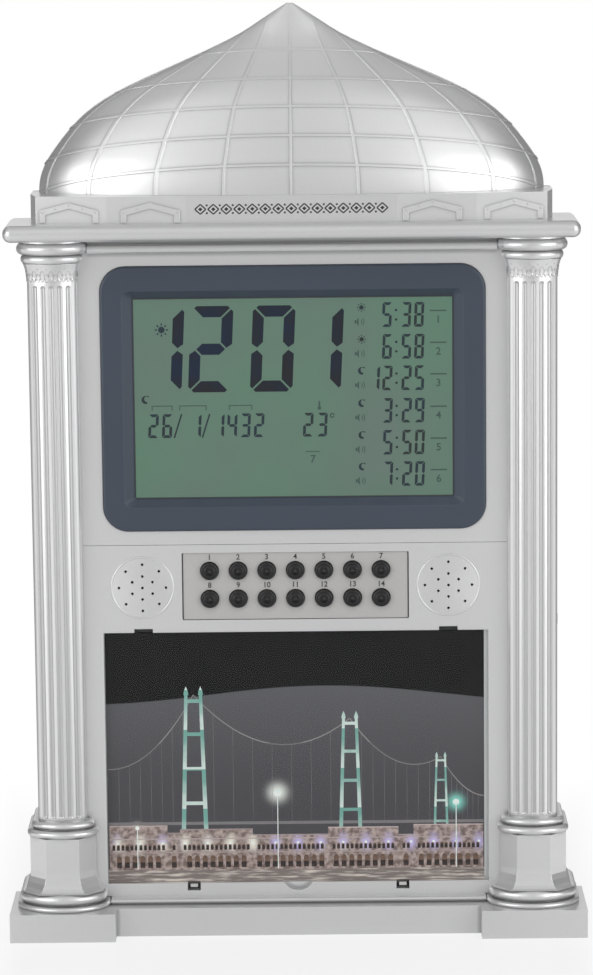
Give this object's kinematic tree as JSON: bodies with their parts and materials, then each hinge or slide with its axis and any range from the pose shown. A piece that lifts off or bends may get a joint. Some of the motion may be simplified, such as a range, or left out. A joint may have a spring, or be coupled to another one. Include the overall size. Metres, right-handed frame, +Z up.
{
  "type": "azan clock",
  "caption": "Mosque-shaped desk and wall clock with fluted columns, ogee dome, large LCD, push buttons, speakers and a print pocket.",
  "frame": {"origin": "middle of the footprint, on the surface the clock stands on", "axes": "+Z up along the clock's height, -Y towards the viewer, +X to the viewer's right"},
  "size_m": [0.228, 0.06, 0.366],
  "materials": {
    "silver_plastic": "satin silver paint over ABS",
    "grey_plastic": "fine-textured grey ABS",
    "slate_plastic": "satin blue-grey ABS",
    "lcd_glass": "matte polariser over glass",
    "inner_plastic": "plain moulded",
    "inner_rubber": "soft silicone",
    "circuit_board": "solder mask",
    "ribbon": "plain",
    "steel": "zinc plated",
    "black_plastic": "satin black",
    "label_plate": "printed satin silver label on its carrier",
    "speaker_steel": "pressed steel",
    "speaker_cone": "plain film",
    "clear_plastic": "clear polished",
    "print_paper": "glossy photo paper",
    "battery_can": "plain wrapped can"
  },
  "bodies": {
    "housing": {"base": "silver_plastic", "front_housing": "silver_plastic", "left_column": "silver_plastic", "right_column": "silver_plastic", "cornice": "silver_plastic", "frieze_band": "silver_plastic", "dome_shell": "silver_plastic", "upper_panel": "silver_plastic", "lower_panel": "silver_plastic", "rear_cover": "grey_plastic", "speaker_grille_left": "silver_plastic", "speaker_grille_right": "silver_plastic", "screen_bezel": "slate_plastic", "lcd_glass": "lcd_glass", "lcd_holder": "inner_plastic", "side_switch_body": "inner_plastic", "lcd_contact_strips": "inner_rubber", "main_board": "circuit_board", "button_board": "circuit_board", "ribbon_cable": "ribbon", "board_screws": "steel", "cover_screws": "steel", "column_screws": "steel", "battery_contacts": "steel", "key_switches": "black_plastic", "button_plate": "label_plate", "speaker_left": "speaker_steel", "speaker_right": "speaker_steel", "speaker_cone_left": "speaker_cone", "speaker_cone_right": "speaker_cone", "picture_print": "print_paper", "battery_1": "battery_can", "battery_2": "battery_can"},
    "button_01_body": {"button_01": "black_plastic"},
    "button_02_body": {"button_02": "black_plastic"},
    "button_03_body": {"button_03": "black_plastic"},
    "button_04_body": {"button_04": "black_plastic"},
    "button_05_body": {"button_05": "black_plastic"},
    "button_06_body": {"button_06": "black_plastic"},
    "button_07_body": {"button_07": "black_plastic"},
    "button_08_body": {"button_08": "black_plastic"},
    "button_09_body": {"button_09": "black_plastic"},
    "button_10_body": {"button_10": "black_plastic"},
    "button_11_body": {"button_11": "black_plastic"},
    "button_12_body": {"button_12": "black_plastic"},
    "button_13_body": {"button_13": "black_plastic"},
    "button_14_body": {"button_14": "black_plastic"},
    "picture_window_body": {"picture_window": "clear_plastic"},
    "battery_door_body": {"battery_door": "grey_plastic"},
    "side_switch_knob_body": {"side_switch_knob": "black_plastic"}
  },
  "joints": [
    {"name": "button_01_press", "type": "slide", "parent": "housing", "child": "button_01_body", "axis": [0, 1, 0], "range_m": [0, 0.0012], "stiffness_N_per_m": 500},
    {"name": "button_02_press", "type": "slide", "parent": "housing", "child": "button_02_body", "axis": [0, 1, 0], "range_m": [0, 0.0012], "stiffness_N_per_m": 500},
    {"name": "button_03_press", "type": "slide", "parent": "housing", "child": "button_03_body", "axis": [0, 1, 0], "range_m": [0, 0.0012], "stiffness_N_per_m": 500},
    {"name": "button_04_press", "type": "slide", "parent": "housing", "child": "button_04_body", "axis": [0, 1, 0], "range_m": [0, 0.0012], "stiffness_N_per_m": 500},
    {"name": "button_05_press", "type": "slide", "parent": "housing", "child": "button_05_body", "axis": [0, 1, 0], "range_m": [0, 0.0012], "stiffness_N_per_m": 500},
    {"name": "button_06_press", "type": "slide", "parent": "housing", "child": "button_06_body", "axis": [0, 1, 0], "range_m": [0, 0.0012], "stiffness_N_per_m": 500},
    {"name": "button_07_press", "type": "slide", "parent": "housing", "child": "button_07_body", "axis": [0, 1, 0], "range_m": [0, 0.0012], "stiffness_N_per_m": 500},
    {"name": "button_08_press", "type": "slide", "parent": "housing", "child": "button_08_body", "axis": [0, 1, 0], "range_m": [0, 0.0012], "stiffness_N_per_m": 500},
    {"name": "button_09_press", "type": "slide", "parent": "housing", "child": "button_09_body", "axis": [0, 1, 0], "range_m": [0, 0.0012], "stiffness_N_per_m": 500},
    {"name": "button_10_press", "type": "slide", "parent": "housing", "child": "button_10_body", "axis": [0, 1, 0], "range_m": [0, 0.0012], "stiffness_N_per_m": 500},
    {"name": "button_11_press", "type": "slide", "parent": "housing", "child": "button_11_body", "axis": [0, 1, 0], "range_m": [0, 0.0012], "stiffness_N_per_m": 500},
    {"name": "button_12_press", "type": "slide", "parent": "housing", "child": "button_12_body", "axis": [0, 1, 0], "range_m": [0, 0.0012], "stiffness_N_per_m": 500},
    {"name": "button_13_press", "type": "slide", "parent": "housing", "child": "button_13_body", "axis": [0, 1, 0], "range_m": [0, 0.0012], "stiffness_N_per_m": 500},
    {"name": "button_14_press", "type": "slide", "parent": "housing", "child": "button_14_body", "axis": [0, 1, 0], "range_m": [0, 0.0012], "stiffness_N_per_m": 500},
    {"name": "picture_window_tilt", "type": "hinge", "parent": "housing", "child": "picture_window_body", "pos_m": [0, -0.01015, 0.11955], "axis": [-1, 0, 0], "range_deg": [0, 70]},
    {"name": "battery_door_tilt", "type": "hinge", "parent": "housing", "child": "battery_door_body", "pos_m": [0, 0.0291, 0.0469], "axis": [-1, 0, 0], "range_deg": [0, 80]},
    {"name": "side_switch_slide", "type": "slide", "parent": "housing", "child": "side_switch_knob_body", "axis": [0, 0, 1], "range_m": [-0.003, 0]}
  ]
}
